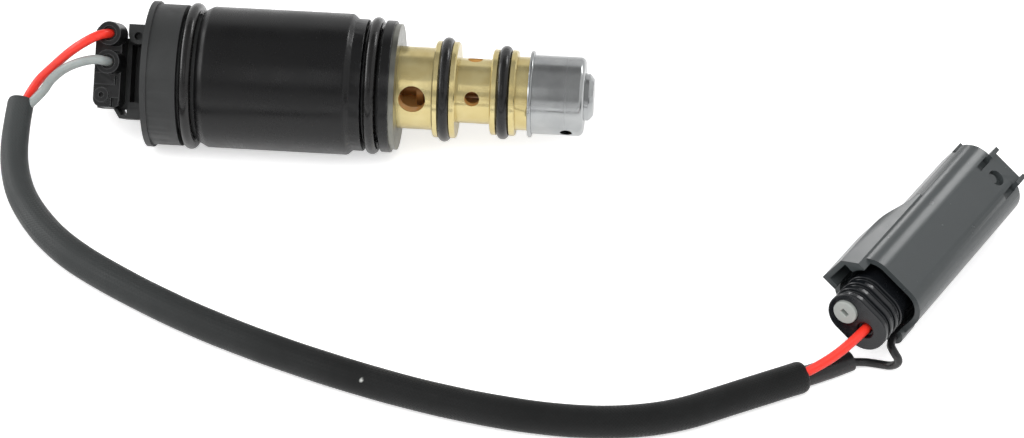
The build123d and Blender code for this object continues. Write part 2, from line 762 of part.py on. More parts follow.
with BuildPart() as valve_plug_housing:
    with BuildSketch(SOCKET_FRAME.offset(SOCKET_RIM)):
        with Locations((plug_mid, (PLUG_TOP + PLUG_BOTTOM) / 2)):
            RectangleRounded(PLUG_RIGHT - PLUG_LEFT, PLUG_TOP - PLUG_BOTTOM, PLUG_CORNER)
    extrude(amount=PLUG_FRONT - SOCKET_RIM)
    with BuildSketch(boss_frame.offset(-BOSS_ROOT)):
        with Locations(*boss_spots):
            Circle(BOSS_R)
    extrude(amount=BOSS_FACE + BOSS_ROOT)
    with BuildSketch(SOCKET_FRAME.offset(PLUG_FRONT)):
        with Locations((PLUG_LUG_X, PLUG_LUG_Y)):
            Circle(PLUG_LUG_R)
    extrude(amount=PLUG_LUG_RISE)
    with BuildSketch(SOCKET_FRAME.offset(PLUG_FRONT)):
        with Locations((PLUG_RIGHT - PLUG_CORNER / 2, PLUG_SHELF_Y)):
            Rectangle(PLUG_SHELF_W, PLUG_SHELF_H, align=(Align.MAX, Align.CENTER))
    extrude(amount=PLUG_SHELF_RISE)
    with BuildSketch(SOCKET_FRAME.offset(PLUG_FRONT)):
        with Locations((PLUG_POCKET_X, PLUG_POCKET_Y)):
            Rectangle(PLUG_POCKET_W, PLUG_POCKET_H)
    extrude(amount=-PLUG_POCKET_DEPTH, mode=Mode.SUBTRACT)
    with BuildSketch(SOCKET_FRAME.offset(plug_nose_end)):
        with Locations((plug_mid, socket_mid)):
            Rectangle(
                PLUG_RIGHT - PLUG_LEFT - 2 * SOCKET_WALL - 2 * SEAT_GAP,
                SOCKET_TOP - SOCKET_BOTTOM - 2 * SOCKET_WALL - 2 * SEAT_GAP,
            )
    extrude(amount=SOCKET_RIM - plug_nose_end)
    with BuildSketch(boss_frame.offset(BOSS_FACE)):
        with Locations(*boss_spots):
            Circle(BOSS_BORE_R)
    extrude(amount=-BOSS_BORE_DEPTH, mode=Mode.SUBTRACT)
    with BuildSketch(SOCKET_FRAME.offset(PLUG_FRONT + PLUG_LUG_RISE)):
        with Locations((PLUG_LUG_X, PLUG_LUG_Y)):
            Circle(PLUG_LUG_HOLE_R)
    extrude(amount=-PLUG_LUG_R, mode=Mode.SUBTRACT)
    with BuildSketch(SOCKET_FRAME.offset(SOCKET_FLOOR)):
        with Locations(*pin_spots):
            Circle(PIN_R + SEAT_GAP)
    extrude(amount=PIN_LENGTH + FREE_GAP, mode=Mode.SUBTRACT)
save("valve_plug_housing", valve_plug_housing.part)

with BuildPart() as socket_pins:
    with BuildSketch(SOCKET_FRAME.offset(SOCKET_FLOOR)):
        with Locations(*pin_spots):
            Circle(PIN_R)
    extrude(amount=PIN_LENGTH)
save("socket_pins", socket_pins.part)

# Rubber seals about the leads, and the contacts that the leads end in
seal_bore_r = LEAD_R + SEAT_GAP
seal_inner_end = BOSS_FACE - WIRE_SEAL_SUNK - WIRE_SEAL_LENGTH
contact_end = BOSS_FACE - BOSS_BORE_DEPTH
with BuildPart() as valve_plug_seals:
    with BuildSketch(boss_frame.offset(seal_inner_end)):
        with Locations(*boss_spots):
            Circle(BOSS_BORE_R)
            Circle(seal_bore_r, mode=Mode.SUBTRACT)
    extrude(amount=WIRE_SEAL_LENGTH)
save("valve_plug_seals", valve_plug_seals.part)

with BuildPart() as valve_plug_contacts:
    with BuildSketch(boss_frame.offset(contact_end)):
        with Locations(*boss_spots):
            Circle(TERMINAL_R)
    extrude(amount=LEAD_END_Z - contact_end)
save("valve_plug_contacts", valve_plug_contacts.part)

# Leads at the valve's end, and the woven sleeve that takes them away
with BuildPart() as red_lead_valve_end:
    tube("red_lead_valve_end", RED_LEAD_ROUTE, LEAD_R)
save("red_lead_valve_end", red_lead_valve_end.part)

with BuildPart() as grey_lead_valve_end:
    tube("grey_lead_valve_end", GREY_LEAD_ROUTE, LEAD_R)
save("grey_lead_valve_end", grey_lead_valve_end.part)

with BuildPart() as harness_sleeve:
    tube("harness_sleeve", HARNESS_ROUTE, HARNESS_R)
save("harness_sleeve", harness_sleeve.part)

# Frame of the harness connector, with its origin in the middle of the hood's mouth
heading, pitch, roll = (radians(a) for a in (CONNECTOR_HEADING, CONNECTOR_PITCH, CONNECTOR_ROLL))
forward = Vector(cos(pitch) * cos(heading), cos(pitch) * sin(heading), -sin(pitch))
level_left = Vector(-sin(heading), cos(heading), 0)
upright = forward.cross(level_left)
CONNECTOR_FRAME = Plane(
    origin=CONNECTOR_MOUTH,
    x_dir=level_left * cos(roll) + upright * sin(roll),
    z_dir=forward,
)

# Connector housing: hood with a side wing, keyed middle, socket and latch face
latch_spots = [(LATCH_X - LATCH_HALF, BARREL_H / 2), (LATCH_X + LATCH_HALF, BARREL_H / 2)]
with BuildPart() as connector_housing:
    with BuildSketch(CONNECTOR_FRAME):
        RectangleRounded(BARREL_W, BARREL_H, BARREL_CORNER)
    extrude(amount=BARREL_LENGTH)
    wing_plane = Plane(
        origin=CONNECTOR_FRAME.from_local_coords(Vector(0, WING_BOTTOM, 0)),
        x_dir=CONNECTOR_FRAME.x_dir,
        z_dir=CONNECTOR_FRAME.y_dir * -1,
    )
    wing_outer = BARREL_W / 2 + WING_PROUD
    with BuildSketch(wing_plane):
        with BuildLine():
            Polyline(
                (wing_outer, WING_END),
                (wing_outer, -WING_REACH),
                (WING_INNER, -WING_REACH),
                (WING_INNER, WING_RAMP_END),
                (BARREL_W / 2 - SEAT_GAP, WING_RAMP_END),
            )
            Spline(
                (BARREL_W / 2 - SEAT_GAP, WING_RAMP_END),
                (wing_outer, WING_END),
                tangents=((0, -1), (0, -1)),
            )
        make_face()
    extrude(amount=WING_BOTTOM - WING_TOP)
    # the wing's upper edge slopes down and outwards
    with BuildSketch(CONNECTOR_FRAME.offset(-WING_REACH)):
        with BuildLine():
            Polyline(
                (wing_outer, WING_TOP - WING_SLOPE),
                (wing_outer, WING_TOP),
                (wing_outer - WING_SLOPE, WING_TOP),
                close=True,
            )
        make_face()
    extrude(amount=WING_REACH + WING_RAMP_END, mode=Mode.SUBTRACT)
    with BuildSketch(CONNECTOR_FRAME.offset(NUB_START)):
        with Locations((NUB_X, NUB_Y)):
            Rectangle(NUB_SIZE, NUB_SIZE)
    extrude(amount=NUB_END - NUB_START)
    with BuildSketch(CONNECTOR_FRAME.offset(-GLAND_OUT)):
        with Locations((GLAND_X, GLAND_Y)):
            Circle(GLAND_R)
    extrude(amount=GLAND_OUT + GLAND_DEPTH + GLAND_FLOOR)
    # hood and socket are hollow, the middle stays solid
    with BuildSketch(CONNECTOR_FRAME.offset(-WING_REACH)):
        RectangleRounded(BARREL_W - 2 * HOOD_WALL, BARREL_H - 2 * HOOD_WALL, BARREL_CORNER - HOOD_WALL)
    extrude(amount=WING_REACH + HOOD_DEPTH, mode=Mode.SUBTRACT)
    with BuildSketch(CONNECTOR_FRAME.offset(-WING_REACH)):
        with Locations((wing_outer - WING_WALL, WING_BOTTOM + WING_WALL)):
            Rectangle(
                wing_outer - WING_WALL - WING_INNER,
                WING_TOP - WING_SLOPE - WING_BOTTOM - WING_WALL,
                align=(Align.MAX, Align.MIN),
            )
    extrude(amount=WING_REACH + HOOD_DEPTH, mode=Mode.SUBTRACT)
    with BuildSketch(CONNECTOR_FRAME.offset(BARREL_LENGTH)):
        RectangleRounded(
            BARREL_W - 2 * SOCKET_SIDE, BARREL_H - 2 * SOCKET_SIDE, BARREL_CORNER - SOCKET_SIDE
        )
    extrude(amount=-SOCKET_DEPTH, mode=Mode.SUBTRACT)
    # the latch tongue stands between two ears and ends in a tab
    with BuildSketch(CONNECTOR_FRAME.offset(LATCH_SLOT_END)):
        with Locations(*[(x, y - LATCH_TAB_T / 2 + LATCH_EAR_PROUD / 2) for x, y in latch_spots]):
            Rectangle(LATCH_EAR_W, LATCH_TAB_T + LATCH_EAR_PROUD)
    extrude(amount=BARREL_LENGTH - LATCH_SLOT_END + LATCH_EAR_OUT)
    with BuildSketch(CONNECTOR_FRAME.offset(BARREL_LENGTH - LATCH_ROOT)):
        with Locations((LATCH_X, BARREL_H / 2 - LATCH_TAB_T / 2)):
            Rectangle(2 * LATCH_HALF - LATCH_EAR_W, LATCH_TAB_T)
    extrude(amount=LATCH_ROOT + LATCH_TAB_OUT)
    with BuildSketch(CONNECTOR_FRAME.offset(LATCH_SLOT_START)):
        with Locations(*latch_spots):
            Rectangle(LATCH_SLOT_W, 2 * LATCH_RECESS)
    extrude(amount=LATCH_SLOT_END - LATCH_SLOT_START, mode=Mode.SUBTRACT)
    latch_plane = Plane(
        origin=CONNECTOR_FRAME.from_local_coords(Vector(LATCH_X, BARREL_H / 2, LATCH_HOLE_Z)),
        x_dir=CONNECTOR_FRAME.x_dir,
        z_dir=CONNECTOR_FRAME.y_dir,
    )
    with BuildSketch(latch_plane):
        Circle(LATCH_HOLE_R)
        with Locations((LATCH_DOME_SHIFT, LATCH_DOME_SHIFT)):
            Circle(LATCH_DOME_R, mode=Mode.SUBTRACT)
    extrude(amount=-LATCH_RECESS, mode=Mode.SUBTRACT)
    with BuildSketch(latch_plane):
        with Locations((LATCH_DOME_SHIFT, LATCH_DOME_SHIFT)):
            Circle(LATCH_DOME_R)
    extrude(amount=-LATCH_DOME_SUNK, mode=Mode.SUBTRACT)
    # a small notch in the barrel's right side
    with BuildSketch(CONNECTOR_FRAME.offset(NOTCH_Z)):
        with Locations((-BARREL_W / 2, NOTCH_Y)):
            Rectangle(NOTCH_SIZE, NOTCH_SIZE)
    extrude(amount=NOTCH_SIZE, mode=Mode.SUBTRACT)
    # contact chambers, blade slots and the blind gland of the second lead
    with BuildSketch(CONNECTOR_FRAME.offset(HOOD_DEPTH)):
        with Locations((CAVITY_PLUG_X, 0), (CAVITY_LEAD_X, 0)):
            Circle(CRIMP_R)
    extrude(amount=CRIMP_LENGTH, mode=Mode.SUBTRACT)
    with BuildSketch(CONNECTOR_FRAME.offset(HOOD_DEPTH)):
        with Locations((CAVITY_PLUG_X, 0), (CAVITY_LEAD_X, 0)):
            Rectangle(BLADE_W, BLADE_T)
    extrude(amount=BARREL_LENGTH - SOCKET_DEPTH - HOOD_DEPTH, mode=Mode.SUBTRACT)
    with BuildSketch(CONNECTOR_FRAME.offset(-GLAND_OUT)):
        with Locations((GLAND_X, GLAND_Y)):
            Circle(BLACK_LEAD_R)
    extrude(amount=GLAND_DEPTH, mode=Mode.SUBTRACT)
save("connector_housing", connector_housing.part)

# Two male contacts: a crimped barrel and a flat blade
with BuildPart() as connector_contacts:
    with BuildSketch(CONNECTOR_FRAME.offset(HOOD_DEPTH)):
        with Locations((CAVITY_PLUG_X, 0), (CAVITY_LEAD_X, 0)):
            Circle(CRIMP_R)
    extrude(amount=CRIMP_LENGTH)
    with BuildSketch(CONNECTOR_FRAME.offset(HOOD_DEPTH + CRIMP_LENGTH)):
        with Locations((CAVITY_PLUG_X, 0), (CAVITY_LEAD_X, 0)):
            Rectangle(BLADE_W, BLADE_T)
    extrude(amount=BARREL_LENGTH - SOCKET_DEPTH - HOOD_DEPTH - CRIMP_LENGTH + BLADE_REACH)
save("connector_contacts", connector_contacts.part)

# Rubber seal with four ribs, bored for a blind plug and for the red lead
core_w, core_h = SEAL_W - 2 * SEAL_RIB_DEPTH, SEAL_H - 2 * SEAL_RIB_DEPTH
with BuildPart() as connector_seal:
    with BuildSketch(CONNECTOR_FRAME.offset(-SEAL_OUT)):
        RectangleRounded(core_w, core_h, SEAL_CORNER - SEAL_RIB_DEPTH)
    extrude(amount=SEAL_OUT + HOOD_DEPTH)
    for rib in range(SEAL_RIBS):
        with BuildSketch(CONNECTOR_FRAME.offset(-SEAL_OUT + rib * SEAL_RIB_PITCH)):
            RectangleRounded(SEAL_W, SEAL_H, SEAL_CORNER)
        extrude(amount=SEAL_RIB)
    with BuildSketch(CONNECTOR_FRAME.offset(-SEAL_OUT)):
        with Locations((CAVITY_PLUG_X, 0)):
            Circle(CAVITY_PLUG_R)
    extrude(amount=CAVITY_PLUG_LENGTH, mode=Mode.SUBTRACT)
    with BuildSketch(CONNECTOR_FRAME.offset(-SEAL_OUT)):
        with Locations((CAVITY_LEAD_X, 0)):
            Circle(CAVITY_REBATE_R)
    extrude(amount=CAVITY_REBATE, mode=Mode.SUBTRACT)
    with BuildSketch(CONNECTOR_FRAME.offset(-SEAL_OUT)):
        with Locations((CAVITY_LEAD_X, 0)):
            Circle(seal_bore_r)
    extrude(amount=CAVITY_LEAD_DEPTH, mode=Mode.SUBTRACT)
save("connector_seal", connector_seal.part)

# Grey blind plug in the seal's spare cavity, with a small key slot
key_w, key_h, key_depth = CAVITY_PLUG_KEY
with BuildPart() as cavity_plug:
    with BuildSketch(CONNECTOR_FRAME.offset(-SEAL_OUT - CAVITY_PLUG_OUT)):
        with Locations((CAVITY_PLUG_X, 0)):
            Circle(CAVITY_PLUG_R)
    extrude(amount=CAVITY_PLUG_OUT + CAVITY_PLUG_LENGTH)
    with BuildSketch(CONNECTOR_FRAME.offset(-SEAL_OUT - CAVITY_PLUG_OUT)):
        with Locations((CAVITY_PLUG_X, 0)):
            Rectangle(key_w, key_h)
    extrude(amount=key_depth, mode=Mode.SUBTRACT)
save("cavity_plug", cavity_plug.part)

# Leads at the connector: the red one enters the seal, the covered one loops under it
with BuildPart() as red_lead_plug_end:
    tube("red_lead_plug_end", RED_LEAD_PLUG_ROUTE, LEAD_R)
save("red_lead_plug_end", red_lead_plug_end.part)

with BuildPart() as shrink_tube:
    tube("shrink_tube", SHRINK_ROUTE, SHRINK_R)
save("shrink_tube", shrink_tube.part)

with BuildPart() as black_lead:
    tube("black_lead", BLACK_LEAD_ROUTE, BLACK_LEAD_R)
save("black_lead", black_lead.part)
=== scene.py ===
import json
import math

import bmesh
import bpy
import numpy as np
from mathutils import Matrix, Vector

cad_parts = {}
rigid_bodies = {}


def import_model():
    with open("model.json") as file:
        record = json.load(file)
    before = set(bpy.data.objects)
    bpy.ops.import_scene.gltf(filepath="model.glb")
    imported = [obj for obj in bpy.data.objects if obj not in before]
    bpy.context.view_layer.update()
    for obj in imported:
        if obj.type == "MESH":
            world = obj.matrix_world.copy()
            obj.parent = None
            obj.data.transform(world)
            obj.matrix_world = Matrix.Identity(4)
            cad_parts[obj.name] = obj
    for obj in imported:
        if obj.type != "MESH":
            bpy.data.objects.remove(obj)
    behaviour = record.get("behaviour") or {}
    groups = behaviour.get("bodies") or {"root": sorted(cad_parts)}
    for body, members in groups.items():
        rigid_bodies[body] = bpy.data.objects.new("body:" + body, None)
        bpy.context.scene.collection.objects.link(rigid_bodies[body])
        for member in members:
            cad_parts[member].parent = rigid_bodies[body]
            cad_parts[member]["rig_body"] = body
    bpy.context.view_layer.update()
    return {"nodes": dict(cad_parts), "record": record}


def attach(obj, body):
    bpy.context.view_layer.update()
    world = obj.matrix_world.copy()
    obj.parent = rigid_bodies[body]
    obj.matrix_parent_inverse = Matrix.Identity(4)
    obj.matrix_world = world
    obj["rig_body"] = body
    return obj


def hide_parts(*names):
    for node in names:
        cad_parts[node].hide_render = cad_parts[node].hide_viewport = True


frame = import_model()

MM = 0.001
FLOOR_Z = -14.8 * MM
VALVE = "valve"
CEILING_AXIS = (0.0, -math.sin(math.radians(12.0)), math.cos(math.radians(12.0)))
FRONT_AXIS = (0.0, -math.cos(math.radians(67.0)), math.sin(math.radians(67.0)))
ARMATURE = "armature"


# ---------------------------------------------------------------------------
# Finishes: every one is a node material on Object coordinates or the piece's UV
# ---------------------------------------------------------------------------
def tone(r, g, b):
    """A colour read as screen values from 0 to 255, turned to linear light."""
    c = np.array([r, g, b]) / 255.0
    linear = np.where(c <= 0.04045, c / 12.92, ((c + 0.055) / 1.055) ** 2.4)
    return (*[float(v) for v in linear], 1.0)


class Finish:
    """A Principled material and short ways to feed its sockets."""

    def __init__(self, name, **sockets):
        self.material = bpy.data.materials.new(name)
        self.material.use_nodes = True
        self.tree = self.material.node_tree
        self.shader = self.tree.nodes["Principled BSDF"]
        for socket, value in sockets.items():
            self.set(socket.replace("_", " "), value)

    def set(self, socket, value):
        self.feed(self.shader.inputs[socket], value)

    def feed(self, socket, value):
        if isinstance(value, bpy.types.NodeSocket):
            self.tree.links.new(value, socket)
        else:
            socket.default_value = value

    def add(self, kind, inputs=(), out=0, **settings):
        """Adds a node, feeds its inputs by place or name and gives back one output."""
        node = self.tree.nodes.new("ShaderNode" + kind)
        for name, value in settings.items():
            setattr(node, name, value)
        for key, value in dict(inputs).items():
            self.feed(node.inputs[key], value)
        return node.outputs[out]

    def place(self):
        return self.add("TexCoord", out=3)

    def sums(self, how, a, b=0.0, c=None):
        values = {0: a, 1: b} if c is None else {0: a, 1: b, 2: c}
        return self.add("Math", values, operation=how)

    def noise(self, where, scale, detail=4.0, rough=0.55):
        return self.add("TexNoise", {"Vector": where, "Scale": scale, "Detail": detail, "Roughness": rough})

    def stretch(self, where, x, y, z):
        return self.add("VectorMath", {0: where, 1: (x, y, z)}, operation="MULTIPLY")

    def range(self, value, low, high, to_low, to_high):
        return self.add("MapRange", {0: value, 1: low, 2: high, 3: to_low, 4: to_high})

    def blend(self, share, a, b):
        return self.add("Mix", {0: share, 6: a, 7: b}, out=2, data_type="RGBA")

    def bump(self, height, strength, distance=0.0002, under=None):
        inputs = {"Height": height, "Strength": strength, "Distance": distance}
        if under is not None:
            inputs["Normal"] = under
        return self.add("Bump", inputs)

    def edges(self, width=0.0003):
        """1 on sharp edges, 0 on flats: how far a rounded normal leaves the true one."""
        rounded = self.add("Bevel", {"Radius": width}, samples=4)
        plain = self.add("NewGeometry", out=1)
        dot = self.add("VectorMath", {0: rounded, 1: plain}, operation="DOT_PRODUCT", out=1)
        return self.range(dot, 0.995, 0.9, 0.0, 1.0)


def moulded(name, colour, roughness=0.5, grain=9000.0, depth=0.25, spread=0.25, edge_highlight=0.0):
    """Moulded plastic: fine spark-eroded grain, faint flow clouds, duller in patches, and a painted highlight that
    pales its sharp edges by the share given last.
    """
    f = Finish(name, Roughness=roughness)
    where = f.place()
    clouds = f.noise(where, 160.0, 3.0)
    dark = tuple(c * (1 - spread) for c in colour[:3]) + (1.0,)
    light = tuple(min(1.0, c * (1 + spread)) for c in colour[:3]) + (1.0,)
    f.set("Base Color", f.blend(clouds, dark, light))
    f.set("Roughness", f.range(f.noise(where, 420.0, 5.0), 0.3, 0.7, roughness * (1.0 - 0.6 * spread), roughness * (1.0 + 0.8 * spread)))
    fine = f.noise(where, grain, 2.0, 0.6)
    f.set("Normal", f.bump(fine, depth, 0.00003))
    # Painted highlight: the sharp edges are blended towards a pale grey
    if edge_highlight:
        f.set("Base Color", f.blend(f.sums("MULTIPLY", f.edges(0.0003), edge_highlight), f.blend(clouds, dark, light), tone(150, 152, 152)))
    return f.material


def turned_metal(name, colour, other, roughness=0.25, metallic=1.0, pitch=0.18, depth=0.12, shaded_bores=()):
    """Lathe-turned metal: fine rings along the axis and the radius, with painted shade inside the bores whose radii
    are given last, browner, duller and not metallic there.
    """
    f = Finish(name, Metallic=metallic)
    where = f.place()
    parts = f.add("SeparateXYZ", {0: where}).node.outputs
    radius = f.sums("SQRT", f.sums("ADD", f.sums("MULTIPLY", parts[1], parts[1]), f.sums("MULTIPLY", parts[2], parts[2])))
    rings = f.add("CombineXYZ", {0: parts[0], 1: radius, 2: 0.0})
    fine = f.noise(rings, 1.0 / (pitch * MM) * 0.55, 3.0, 0.7)
    broad = f.noise(rings, 420.0, 3.0)
    stain = f.noise(where, 260.0, 4.0)
    skin = f.blend(f.range(stain, 0.35, 0.7, 0.0, 1.0), colour, other)
    rough = f.range(f.sums("ADD", broad, f.sums("MULTIPLY", fine, 0.6)), 0.5, 1.1, roughness - 0.06, roughness + 0.1)
    # Painted shade: inside the bores the colour turns a duller brown and loses its metal shine
    if shaded_bores:
        near, end_x, far = (value * MM for value in shaded_bores)
        inner = f.sums("LESS_THAN", radius, near)
        wider = f.sums("MULTIPLY", f.sums("LESS_THAN", radius, far), f.sums("LESS_THAN", parts[0], end_x))
        inside = f.sums("MAXIMUM", inner, wider)
        skin = f.blend(inside, skin, f.blend(stain, tone(196, 142, 74), tone(228, 182, 112)))
        f.set("Metallic", f.range(inside, 0.0, 1.0, metallic, 0.0))
        rough = f.sums("MAXIMUM", rough, f.sums("MULTIPLY", inside, 0.34))
    f.set("Base Color", skin)
    f.set("Roughness", rough)
    f.set("Normal", f.bump(fine, depth, 0.00005))
    return f.material


def coated(name, colour, roughness=0.27, level=0.34):
    """A satin black coating on turned steel: faint rings, hairline rubs along the edges, fine dust."""
    f = Finish(name)
    f.set("Specular IOR Level", level)
    where = f.place()
    parts = f.add("SeparateXYZ", {0: where}).node.outputs
    around = f.sums("ARCTAN2", parts[2], parts[1])
    rings = f.add("CombineXYZ", {0: parts[0], 1: f.sums("MULTIPLY", around, 0.002), 2: 0.0})
    fine = f.noise(rings, 5200.0, 3.0, 0.65)
    broad = f.noise(where, 150.0, 4.0)
    dust = f.range(f.noise(where, 3800.0, 2.0), 0.70, 0.78, 0.0, 0.3)
    worn = f.sums("MULTIPLY", f.edges(0.00035), f.range(f.noise(where, 900.0, 4.0), 0.45, 0.65, 0.0, 0.5))
    f.set("Base Color", f.blend(f.sums("MAXIMUM", dust, worn), colour, tone(92, 94, 94)))
    f.set("Roughness", f.range(f.sums("ADD", broad, f.sums("MULTIPLY", fine, 0.35)), 0.45, 0.9, roughness - 0.05, roughness + 0.09))
    f.set("Normal", f.bump(fine, 0.035, 0.00005))
    return f.material


def rubber(name, colour, roughness=0.45, dust=0.25, dust_colour=(0.12, 0.12, 0.12, 1.0)):
    """Moulded rubber: near-black, a little bloom and dust, a soft uneven shine."""
    f = Finish(name)
    where = f.place()
    bloom = f.noise(where, 500.0, 5.0)
    f.set("Base Color", f.blend(f.range(bloom, 0.55, 0.85, 0.0, dust), colour, dust_colour))
    f.set("Roughness", f.range(f.noise(where, 900.0, 4.0), 0.3, 0.7, roughness - 0.08, roughness + 0.12))
    f.set("Normal", f.bump(f.noise(where, 6000.0, 2.0), 0.15, 0.00004))
    return f.material


def insulation(name, colour, roughness=0.33):
    """Wire insulation: semi-gloss, with faint marks of the strands beneath and handling dirt."""
    f = Finish(name)
    where = f.place()
    dirt = f.noise(where, 700.0, 5.0)
    dull = tuple(c * 0.72 for c in colour[:3]) + (1.0,)
    f.set("Base Color", f.blend(f.range(dirt, 0.5, 0.8, 0.0, 0.55), colour, dull))
    f.set("Roughness", f.range(f.noise(where, 1500.0, 3.0), 0.3, 0.7, roughness - 0.05, roughness + 0.12))
    f.set("Normal", f.bump(f.noise(where, 2600.0, 2.0), 0.12, 0.00006))
    f.set("Subsurface Weight", 0.05)
    f.set("Subsurface Scale", 0.0006)
    return f.material


def woven(name, light, dark, yarns, pale_mark, painted_pale_end=0.42):
    """A braided sleeve on the piece's UV, u along in yarn widths and v once around.

    Two sets of yarns cross, at v * yarns + u and v * yarns - u. The parts of those sums after the
    point give each yarn's round section, and the colour follows it from the dark colour at the
    sides to the light colour on top, a painted shade and painted highlight. Their whole parts say
    which set lies on top, a whitish mark lies about one place, and the end near u = 0 is painted
    paler, a painted highlight, by the share given last.
    """
    f = Finish(name, Sheen_Weight=0.16, Sheen_Roughness=0.3, Specular_IOR_Level=0.3)
    where = f.place()
    parts = f.add("SeparateXYZ", {0: f.add("UVMap")}).node.outputs
    turn = f.sums("MULTIPLY", parts[1], float(yarns))
    first, second = f.sums("ADD", turn, parts[0]), f.sums("SUBTRACT", turn, parts[0])

    def section(value):
        part = f.sums("FRACT", value)
        return f.sums("MULTIPLY", f.sums("MULTIPLY", part, f.sums("SUBTRACT", 1.0, part)), 4.0)

    whole = f.sums("ADD", f.sums("FLOOR", first), f.sums("FLOOR", second))
    upper = f.sums("MULTIPLY", f.sums("FRACT", f.sums("MULTIPLY", whole, 0.5)), 2.0)
    weave = f.add("Mix", {0: upper, 2: section(first), 3: section(second)})
    worn = f.noise(where, 90.0, 3.0)
    depth = f.sums("MULTIPLY", weave, f.range(worn, 0.35, 0.65, 0.25, 1.0))
    # Painted highlight and painted shade: each yarn runs from the dark colour at its sides to the light colour on its
    # top
    skin = f.blend(f.sums("MULTIPLY", depth, f.range(f.noise(where, 2400.0, 2.0), 0.3, 0.7, 0.6, 1.0)), dark, light)
    # Painted highlight: the end near u = 0 is blended towards a pale grey
    skin = f.blend(f.range(parts[0], 12.0, 150.0, painted_pale_end, 0.0), skin, tone(88, 92, 92))
    # A whitish mark lies about one place, set by its start, heading, reach and width
    start, heading, reach, width = pale_mark
    offset = f.add("VectorMath", {0: where, 1: tuple(c * MM for c in start)}, operation="SUBTRACT")
    ahead = f.add("VectorMath", {0: offset, 1: heading}, out=1, operation="DOT_PRODUCT")
    aside = f.add("VectorMath", {0: offset, 1: f.add("VectorMath", {0: heading, "Scale": ahead}, operation="SCALE")}, out=1, operation="DISTANCE")
    near = f.sums("MULTIPLY", f.range(aside, 0.3 * width * MM, width * MM, 1.0, 0.0), f.range(f.sums("ABSOLUTE", ahead), 0.6 * reach * MM, reach * MM, 1.0, 0.0))
    mark_share = f.sums("MULTIPLY", near, f.range(f.noise(where, 1300.0, 4.0), 0.38, 0.56, 0.15, 0.9))
    f.set("Base Color", f.blend(mark_share, skin, tone(190, 192, 188)))
    f.set("Roughness", f.range(depth, 0.0, 1.0, 0.62, 0.44))
    f.set("Normal", f.bump(depth, 0.55, 0.00009, f.bump(worn, 0.25, 0.0004)))
    return f.material


MATERIALS = {
    "moulded_black": moulded("moulded black plastic", tone(44, 45, 45), 0.46, 9000.0, 0.2),
    "black_steel": coated("satin black coating", tone(9, 9, 10), 0.27, 0.39),
    "rubber": rubber("o-ring rubber", tone(12, 11, 11), 0.2, 0.1),
    "bright_steel": turned_metal("bright turned steel", tone(190, 192, 194), tone(172, 175, 178), 0.1),
    "bobbin_plastic": moulded("bobbin plastic", tone(70, 70, 70), 0.5),
    "copper_wire": turned_metal("enamelled copper", tone(198, 112, 62), tone(170, 88, 48), 0.3, 1.0, 0.35, 0.5),
    "spring_wire": turned_metal("spring wire", tone(180, 182, 185), tone(150, 152, 155), 0.28),
    # Its last numbers mark the bores that get painted shade inside
    "turned_brass": turned_metal("turned brass", tone(221, 206, 152), tone(210, 191, 132), 0.19, 0.82, 0.2, 0.08, (6.35, 57.65, 8.1)),
    "drawn_steel": turned_metal("satin drawn steel", tone(182, 184, 184), tone(168, 170, 171), 0.2, 1.0, 0.3, 0.05),
    "tinned_contact": turned_metal("tinned contact", tone(200, 200, 196), tone(170, 170, 168), 0.3),
    # Plug plastic: near black, darkened further as painted shade for the recess beside the flange; its last number
    # sets the painted highlight on its edges
    "plug_black": moulded("plug plastic", tone(17, 17, 18), 0.3, 7000.0, 0.2, 0.2, 0.22),
    "red_insulation": insulation("red insulation", tone(236, 52, 38)),
    "grey_insulation": insulation("grey insulation", tone(150, 156, 154)),
    # The sleeve's black comes in a lighter and a darker tone, laid on its yarns as painted highlight and painted shade
    "woven_sleeve": woven("braided sleeve", tone(24, 25, 25), tone(10, 11, 11), 24, ((52.0, -76.5, -9.6), (0.598, 0.802, 0.000), 2.3, 0.45)),
    "black_tubing": rubber("black tubing", tone(26, 26, 27), 0.3, 0.1),
    "connector_black": moulded("connector plastic", tone(61, 65, 66), 0.26, 8000.0, 0.03, 0.07),
    "seal_rubber": rubber("oiled silicone", tone(20, 22, 25), 0.16, 0.08),
    "grey_rubber": rubber("grey silicone", tone(158, 162, 158), 0.4, 0.4, tone(120, 124, 120)),
}
for part in frame["record"]["subparts"]:
    solid = frame["nodes"][part["node"]]
    if not solid.material_slots:
        solid.data.materials.append(None)
    for holder in solid.material_slots:
        holder.link = "OBJECT"
        holder.material = MATERIALS[part["material_slot"]]
# The push rod shows only through the ports; its dark brown is painted shade for the inside of the ports
frame["nodes"]["push_rod"].material_slots[0].material = turned_metal("push rod painted dark for shade", tone(168, 122, 68), tone(130, 88, 46), 0.3, 0.4)
frame["nodes"]["front_plate"].material_slots[0].material = turned_metal("dull plate", tone(146, 146, 138), tone(126, 126, 120), 0.3)
SLOT_OF = {part["node"]: part["material_slot"] for part in frame["record"]["subparts"]}


# ---------------------------------------------------------------------------
# Meshes
# ---------------------------------------------------------------------------
def piece(name, mesh, slot, body=VALVE, replaces=()):
    """A mesh as a piece of the object: its finish, the body it rides on, what it stands for."""
    thing = bpy.data.objects.new(name, mesh)
    bpy.context.scene.collection.objects.link(thing)
    mesh.materials.append(MATERIALS[slot])
    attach(thing, body)
    if replaces:
        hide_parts(*replaces)
    return thing


